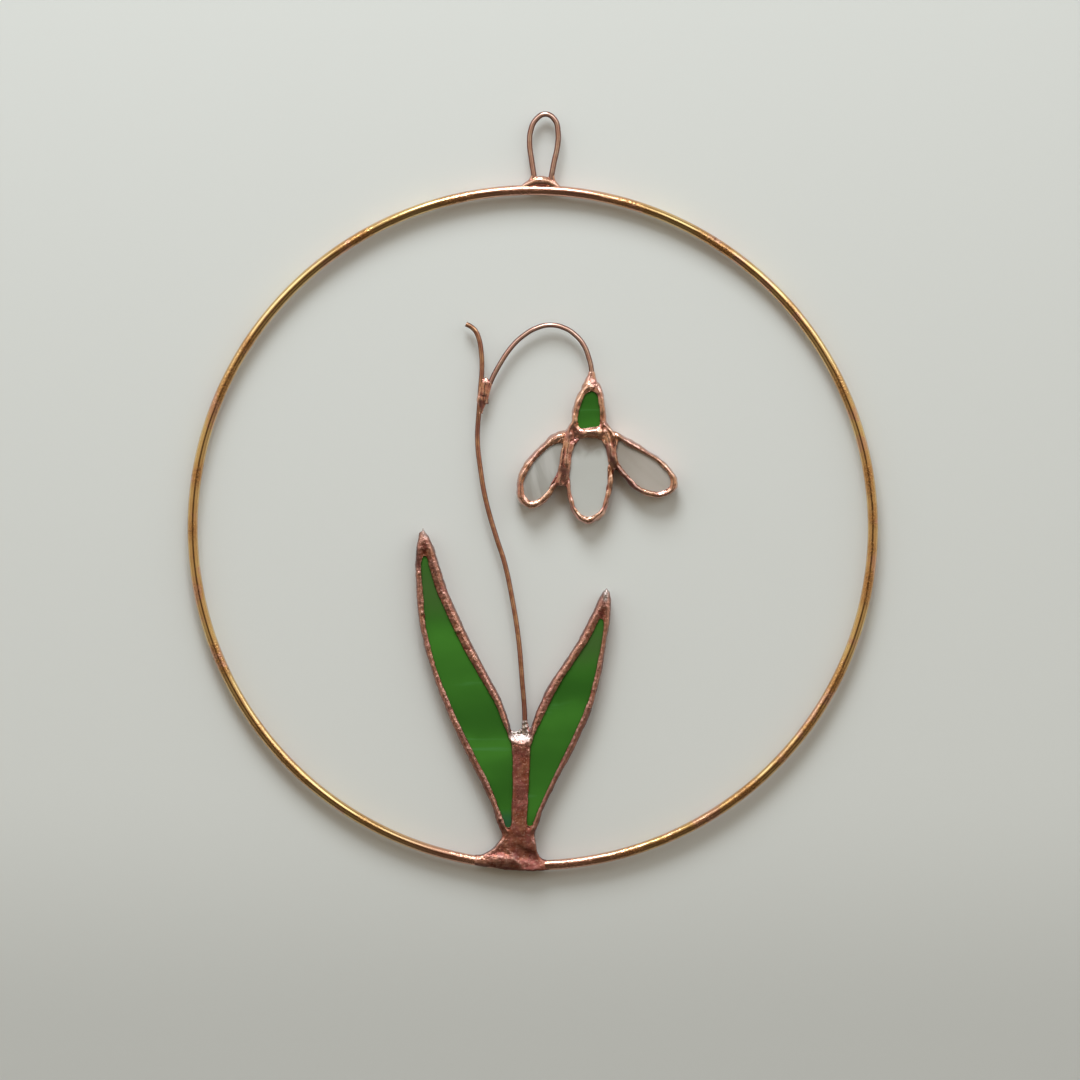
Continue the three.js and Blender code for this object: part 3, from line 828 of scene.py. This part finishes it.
leafSolder = {
    "parts": ["left_leaf_foil", "right_leaf_foil", "leaf_seam_solder", "base_solder"],
    "melt": {
        "swell": 0.35, "voxel": 0.29, "relax": 5, "shrink": 0.4,
        "pinches": [((-14, -95), 9.0, 0.7), ((4.4, -98.4), 3.7, 0.6)],
    },
    "beads": [
        # the base's arms along the hoop, the bar across the top of the seam, and the left leaf's tip
        hoopBead([(-20.5, 1.2), (-17.4, 1.5), (-14.8, 1.75), (-12.4, 2.3), (-10, 2.65), (-7.5, 2.7),
                  (-4.5, 2.35), (-1, 2.0), (1.6, 1.75), (3.4, 1.64), (5.4, 1.57), (7.4, 1.35)]),
        ([(-7, -59.4, 0.8), (-5, -60.6, 1.1), (-2.4, -60.6, 1.1), (-0.3, -59.2, 0.8)], 1.9),
        ([(-32, -0.9, 0.95), (-31.9, -2.4, 1.4), (-31.6, -4.4, 1.45)], 1.2),
    ],
    "scoop": {
        "middle": -3.6, "halfWidth": 3.3, "sides": (0.8, 1.1),  # shares at which its sides fade out
        "foot": -62.6, "rise": 1.7, "top": -59.2, "over": 2,  # and how far above its top it still cuts
        "slope": 0.56, "deepest": 0.75,  # the second as a share of the half depth
    },
    "softened": [
        ([(-8.6, -90), (0.8, -90)], 1.3, 40),
        ([(-18, -96.8), (-13, -96.9)], 1.6, 14),
        ([(-0.5, -96), (5.8, -98.3)], 1.6, 14),
    ],
    # a fold across the base, and a knot at each of the points above
    "ridges": [([(-7.4, -94.0), (-5.6, -95.6), (-3.6, -98.4)], 0.22, 0.5),
               *(([knot], 0.3, 0.5) for knot in leafKnots)],
    "lumps": [(4.5, 0.17), (2.0, 0.12), (0.9, 0.08)],
    "seed": 8,
    "stainsAndShade": [
        ([(-33.6, -6.2), (-33, -10.6)], 0.9, 0.75),
        ([(-29.8, -8), (-28, -13)], 0.7, 0.5),
        ([(-9.5, -85)], 0.7, 0.85),
        ([(21, -19), (20.4, -22)], 0.8, 0.6),
        ([(-5.4, -89.6), (-2, -89.9)], 0.3, 0.5),
        # painted shade along the lower edge of the base, which faces down
        ([(-17, -98.2), (-8, -99.3), (0, -99.7), (5, -99.5)], 0.9, 0.6),
        ([(-9, -96.4), (-4, -95), (-1, -92)], 3.2, 0.42),
        ([(17, -52), (8.3, -68), (0.3, -89)], 1.2, 0.45),
        ([(-20.5, -58.7), (-13.1, -76.5), (-8.9, -88.3)], 1.2, 0.45),
    ],
    "bare": [
        ([(-31.8, -0.2), (-31, -2)], 0.6, 0.35),
        ([(21.3, -18.2), (21.1, -20.2)], 0.7, 0.6),
        ([(-5.6, -60.7), (-1.7, -60.7)], 1.2, 0.75),
    ],
    "dulled": [([(-3.6, -68), (-3.8, -80), (-4, -91), (-1.8, -95), (1, -98)], 3.4, 1.0)],
}


# The top of the wide seam is a scoop: from a curved foot it slopes back to a thin upper edge.
def scoopSeamTop(mesh, scoop):
    points = readPoints(mesh)
    x, z = flatPlaces(points)
    across = np.abs(x - scoop["middle"]) / scoop["halfWidth"]
    foot = scoop["foot"] + scoop["rise"] * across ** 2
    above = np.clip(z - foot, 0, scoop["top"] - scoop["foot"])
    inside = 1 - eased(across, *scoop["sides"])
    inside = inside * (z < scoop["top"] + scoop["over"])
    depth = np.minimum(above * scoop["slope"] * mm * inside, np.abs(points[:, 1]) * scoop["deepest"])
    points[:, 1] -= np.sign(points[:, 1]) * depth
    writePoints(mesh, points)


leafMesh = meltedMesh("leaf_solder", leafSolder["parts"], leafSolder["melt"], leafSolder["beads"])
scoopSeamTop(leafMesh, leafSolder["scoop"])
workSolder(leafMesh, leafSolder)
finishPiece("leaf_solder", leafMesh, leafCopper, "copper_solder", *leafSolder["parts"])

drops = {
    "joint_solder": {
        "part": "stem_joint_solder", "slot": "copper_solder", "material": bloomCopper,
        "beads": [
            ([(-14.8, 43.6, 0.74), (-15, 40, 0.95), (-15.2, 37.5, 1.05), (-15, 35.2, 0.95),
              (-15.2, 33.6, 0.74)], 1.0),
            ([(-12.3, 42.8, 0.72), (-13, 40.4, 0.85), (-13.8, 37.6, 0.85), (-14.4, 35.6, 0.7)], 1.0),
            ([(-13.4, 44, 0.6), (-13.7, 42.6, 1.2), (-14.2, 39, 1.1)], 1.0),
        ],
        "melt": {"swell": 0.3, "voxel": 0.13, "relax": 12, "shrink": 0.33},
        "lumps": [(2.4, 0.2), (1.1, 0.06)],
        "seed": 5,
        "stainsAndShade": [([(-15, 37.2), (-14.6, 35)], 0.7, 0.8)],
    },
    "loop_solder": {
        "part": "hanging_loop_solder", "slot": "copper_solder", "material": bloomCopper,
        "beads": [
            ([(-3.6, 98.8, 0.6), (-0.8, 100.4, 1.15), (2.6, 101.2, 1.55), (5.6, 100.3, 1.1),
              (8.2, 98.5, 0.6)], 1.0),
            ([(-2.8, 99.6, 0.5), (-0.7, 101, 0.75), (0.4, 103, 0.8)], 1.0),
            ([(7.9, 99.3, 0.4), (6.1, 101, 0.62), (5.5, 103, 0.76)], 1.0),
        ],
        "melt": {"swell": 0.3, "voxel": 0.14, "relax": 8, "shrink": 0.33},
        "lumps": [(2.5, 0.1)],
        "seed": 6,
        "stainsAndShade": [([(0.6, 100.3), (4.6, 100.3)], 0.5, 0.5)],
    },
    "foot_solder": {
        "part": "stem_foot_solder", "slot": "bare_solder", "material": bareSolder,
        "beads": [
            ([(-2.3, -55.9, 0.74), (-2.3, -57.4, 0.95), (-2.0, -59.4, 1.1), (-1.8, -60.8, 1.0)], 0.9),
            ([(-7, -58.4, 0.45), (-6.1, -59.9, 0.8), (-4.2, -59.9, 0.95), (-2.4, -58.8, 0.9)], 0.5),
            ([(-3, -59.4, 0.8), (-0.4, -58.4, 0.5)], 0.5),
        ],
        "melt": {"swell": 0.3, "voxel": 0.13, "relax": 6, "shrink": 0.33},
        "lumps": [(1.5, 0.3), (0.7, 0.2)],
        "seed": 7,
    },
}

for name, drop in drops.items():
    dropMesh = meltedMesh(name, [], drop["melt"], drop["beads"])
    workSolder(dropMesh, drop)
    finishPiece(name, dropMesh, drop["material"], drop["slot"], drop["part"])

wires = {
    "stem_rod": {
        "part": "stem_wire", "diameter": 1.45, "material": stemCopper,
        "stainsAndShade": [([(-2.6, -49), (-2.3, -58)], 8, 0.4), ([(-15.2, 34), (-15.6, 29)], 2.5, 0.45),
                   ([(-19.3, 59.6), (-18.6, 59.2)], 1.0, 0.4)],
        "route": [(-19.3, 59.6), (-17.8, 58.8), (-16.5, 57.5), (-15.5, 55.1), (-14.9, 51.5),
                  (-14.7, 46.5), (-15.1, 41), (-15.5, 35), (-16, 26), (-15.1, 17.1), (-13.6, 8.4),
                  (-10.3, -3.3), (-8.4, -9.1), (-5.9, -20.8), (-4.1, -32.5), (-3.1, -44.2),
                  (-2.4, -53), (-2.3, -58.3)],
    },
    "pedicel_rod": {
        "part": "pedicel_wire", "diameter": 1.45, "material": loopCopper,
        "stainsAndShade": [([(-12.4, 42.2), (-9.7, 47.6)], 2, 0.3)],
        "route": [(-13.5, 36.4), (-13.4, 39.4), (-12.4, 42.2), (-9.7, 47.6), (-5.8, 53.3), (-2.7, 56.2),
                  (0.8, 58.3), (5, 59.3), (9.3, 58.4), (12.2, 56.5), (14.6, 53.7), (16.3, 49.5),
                  (17, 46.2), (17.1, 43.9)],
    },
    "loop_rod": {
        "part": "hanging_loop", "diameter": 1.58, "material": loopCopper,
        "stainsAndShade": [([(0.7, 100.6), (0.5, 102)], 1.0, 0.5), ([(5.5, 103), (5.1, 100.6)], 1.0, 0.5)],
        "route": [(0.7, 100.6), (0.3, 103), (-0.3, 107), (-0.9, 112), (-0.6, 115.6), (1, 119),
                  (3.8, 120.5), (6.4, 118.8), (7.3, 115.4), (7.1, 111), (6.2, 106.8), (5.5, 103),
                  (5.1, 100.6)],
    },
}

wireEnd = {"rounding": 0.18, "segments": 2}


# Both ends of a wire are a little rounded.
def wireMesh(name, settings):
    mesh = rodMesh(name, [(x, z, settings["diameter"] / 2) for x, z in settings["route"]])
    shape = bmesh.new()
    shape.from_mesh(mesh)
    bmesh.ops.remove_doubles(shape, verts=shape.verts, dist=weld)
    rims = [edge for edge in shape.edges if any(len(face.verts) > 4 for face in edge.link_faces)]
    bmesh.ops.bevel(shape, geom=rims, offset=wireEnd["rounding"] * mm, affect="EDGES",
                    segments=wireEnd["segments"], profile=0.5, material=-1)
    shape.to_mesh(mesh)
    shape.free()
    return mesh


for name, wire in wires.items():
    wireShape = wireMesh(name, wire)
    setAttribute(wireShape, "crown", np.full(len(wireShape.vertices), 0.5))
    setAttribute(wireShape, "stainAndShade", spotted(readPoints(wireShape), wire["stainsAndShade"]))
    finishPiece(name, wireShape, wire["material"], "copper_wire", wire["part"])


# The wire's round section, drawn where the hoop crosses the x axis, is spun about the hoop's middle.
def hoopMesh():
    shape = bmesh.new()
    section = Matrix.Translation(place((hoop["diameter"] - hoop["wire"]) / 2, 0))
    bmesh.ops.create_circle(shape, segments=hoop["sides"], radius=hoop["wire"] / 2 * mm, matrix=section)
    bmesh.ops.spin(shape, geom=shape.edges[:], cent=hoopMiddle, axis=(0, 1, 0), angle=2 * math.pi,
                   steps=hoop["steps"], use_merge=True)
    bmesh.ops.recalc_face_normals(shape, faces=shape.faces[:])
    mesh = bpy.data.meshes.new("hoop_ring")
    shape.to_mesh(mesh)
    shape.free()
    return mesh


finishPiece("hoop_ring", hoopMesh(), brassHoop, "brass_hoop", "hoop")

paneShape = {"swell": 0.2, "voxel": 0.32, "relax": 3, "shrink": 0.0, "warp": (9.0, 0.08)}

for seed, (name, (slot, material)) in enumerate(paneGlass.items()):
    paneMesh = meltedMesh(name + "_pane", [name + "_glass"], paneShape)
    addLumps(paneMesh, [paneShape["warp"]], seed)
    finishPiece(name + "_pane", paneMesh, material, slot, name + "_glass")

stage = {
    "boardFront": 2.7,  # mm behind the middle of the panel, which lies on it
    "boardSize": (0.44, 0.5),
    "boardPaint": (0.72, 0.735, 0.715),
    "boardShade": (0.6, 0.61, 0.59),  # on the foot of the board
    "shadeHeights": (-70, -150),  # where the shade begins, and where it is full
    "edgeOn": 0.98,  # the Facing past which the board is hidden
    "floorSize": (14.0, 14.0),
    "floorDrop": -0.3,
    "floorPaint": (0.64, 0.68, 0.76),
    "roughness": 0.7,
    "window": {
        "away": (-0.12, -0.56, 1.07), "size": (0.6, 0.46), "power": 13.5, "colour": (0.91, 0.97, 1.0),
    },
}


# The board isn't there from behind or edge on, and the floor is there only for the camera, so neither
# shuts out the room.
def makePaint(name, isBoard):
    material, sheet, where, shader = newMaterial(name)
    shader["Roughness"].default_value = stage["roughness"]
    path = sheet.node("ShaderNodeLightPath").outputs
    if isBoard:
        start, end = (place(0, height).z for height in stage["shadeHeights"])
        low = sheet.span(sheet.part(where, "Z"), start, end)
        sheet.link(sheet.mix(low, stage["boardPaint"], stage["boardShade"]), shader["Base Color"])
        behind = sheet.node("ShaderNodeNewGeometry").outputs["Backfacing"]
        facing = sheet.node("ShaderNodeLayerWeight").outputs["Facing"]
        edgeOn = sheet.math("GREATER_THAN", facing, stage["edgeOn"])
        hidden = sheet.plus(sheet.plus(behind, edgeOn), path["Transparent Depth"])
        hidden = sheet.math("GREATER_THAN", hidden, 0.5)
    else:
        shader["Base Color"].default_value = (*stage["floorPaint"], 1)
        hidden = sheet.minus(1.0, path["Is Camera Ray"])
    clear = sheet.node("ShaderNodeBsdfTransparent")
    blend = sheet.node("ShaderNodeMixShader")
    painted = sheet.tree.nodes["Principled BSDF"]
    output = sheet.tree.nodes["Material Output"]
    sheet.link(hidden, blend.inputs[0])
    sheet.link(painted.outputs[0], blend.inputs[1])
    sheet.link(clear.outputs[0], blend.inputs[2])
    sheet.link(blend.outputs[0], output.inputs["Surface"])
    return material


def stagePlane(name, size, matrix, material):
    shape = bmesh.new()
    bmesh.ops.create_grid(shape, x_segments=1, y_segments=1, size=0.5)
    bmesh.ops.scale(shape, vec=(*size, 1), verts=shape.verts)
    bmesh.ops.transform(shape, matrix=matrix, verts=shape.verts)
    mesh = bpy.data.meshes.new(name)
    shape.to_mesh(mesh)
    shape.free()
    mesh.materials.append(material)
    plane = bpy.data.objects.new(name, mesh)
    bpy.context.collection.objects.link(plane)


boardPlace = Matrix.Translation(camera["aim"] + Vector((0, stage["boardFront"] * mm, 0)))
boardPlace = boardPlace @ Matrix.Rotation(math.pi / 2, 4, "X")
stagePlane("board", stage["boardSize"], boardPlace, makePaint("board_paint", True))
floorPlace = Matrix.Translation((0, 0, stage["floorDrop"]))
stagePlane("floor", stage["floorSize"], floorPlace, makePaint("floor_paint", False))


def makeWindow():
    settings = stage["window"]
    data = bpy.data.lights.new("window", "AREA")
    data.shape = "RECTANGLE"
    data.size, data.size_y = settings["size"]
    data.energy = settings["power"]
    data.color = settings["colour"]
    lamp = bpy.data.objects.new("window", data)
    lamp.location = camera["aim"] + Vector(settings["away"])
    lamp.rotation_euler = (camera["aim"] - lamp.location).to_track_quat("-Z", "Y").to_euler()
    bpy.context.collection.objects.link(lamp)


makeWindow()

# A pair is where something starts and where it is full, along one axis of the direction looked in.
room = {
    "low": 0.09, "high": 0.31, "rise": (-0.3, 0.8),  # brightness below and above
    "wall": 0.38, "wallSide": (0.12, 0.4), "wallHeight": (0.6, 0.15),  # a pale wall on each side
    "behind": 0.6, "behindFrom": (0.0, 0.6),  # what the back adds
    "front": 0.26, "frontFrom": (-0.92, -0.985),  # the share that is left of the front
    # Two more windows, far to each side: where along x each begins, and its brightness.
    "windows": [(-0.42, 1.6), (0.2, 2.0)], "windowEdge": 1.25,
    "windowFoot": (0.3, 0.4), "windowTop": (0.75, 0.62), "windowFront": (-0.05, -0.2),
    "tint": (1.0, 0.85, 0.63), "frontTint": (1.0, 0.56, 0.32), "frontTintFrom": (-0.9, -0.97),
    "seen": (0.72, 0.73, 0.73), "seenLevel": 0.85,  # what the camera sees of it
}


# The room that the metal mirrors: bright above, and dark where someone stands to look at the panel.
def makeRoom():
    world = bpy.data.worlds.new("room")
    world.use_nodes = True
    world.node_tree.nodes.clear()
    sheet = Sheet(world.node_tree)
    toward = sheet.node("ShaderNodeTexCoord").outputs["Generated"]
    x, y, z = (sheet.part(toward, axis) for axis in "XYZ")
    level = sheet.span(z, *room["rise"], (room["low"], room["high"]))
    side = sheet.span(sheet.math("ABSOLUTE", x), *room["wallSide"], (0.0, room["wall"]))
    wall = sheet.times(side, sheet.span(sheet.math("ABSOLUTE", z), *room["wallHeight"]))
    level = sheet.plus(level, wall)
    level = sheet.plus(level, sheet.span(y, *room["behindFrom"], (0.0, room["behind"])))
    height = sheet.times(sheet.span(z, *room["windowFoot"]), sheet.span(z, *room["windowTop"]))
    height = sheet.times(height, sheet.span(y, *room["windowFront"]))
    panes = 0.0
    for edge, brightness in room["windows"]:
        pane = sheet.span(x, edge, edge * room["windowEdge"], (0.0, brightness))
        panes = sheet.plus(panes, sheet.times(height, pane))
    level = sheet.plus(level, panes)
    level = sheet.times(level, sheet.span(y, *room["frontFrom"], (1.0, room["front"])))
    tint = sheet.mix(sheet.span(y, *room["frontTintFrom"]), room["tint"], room["frontTint"])
    tint = sheet.mix(sheet.math("MINIMUM", panes, 1.0), tint, stage["window"]["colour"])
    around = sheet.node("ShaderNodeBackground")
    sheet.link(tint, around.inputs["Color"])
    sheet.link(level, around.inputs["Strength"])
    seen = sheet.node("ShaderNodeBackground")
    seen.inputs["Color"].default_value = (*room["seen"], 1)
    seen.inputs["Strength"].default_value = room["seenLevel"]
    chosen = sheet.node("ShaderNodeMixShader")
    sheet.link(sheet.node("ShaderNodeLightPath").outputs["Is Camera Ray"], chosen.inputs[0])
    sheet.link(around.outputs[0], chosen.inputs[1])
    sheet.link(seen.outputs[0], chosen.inputs[2])
    output = sheet.node("ShaderNodeOutputWorld")
    sheet.link(chosen.outputs[0], output.inputs["Surface"])
    bpy.context.scene.world = world


makeRoom()
print("stage ready")
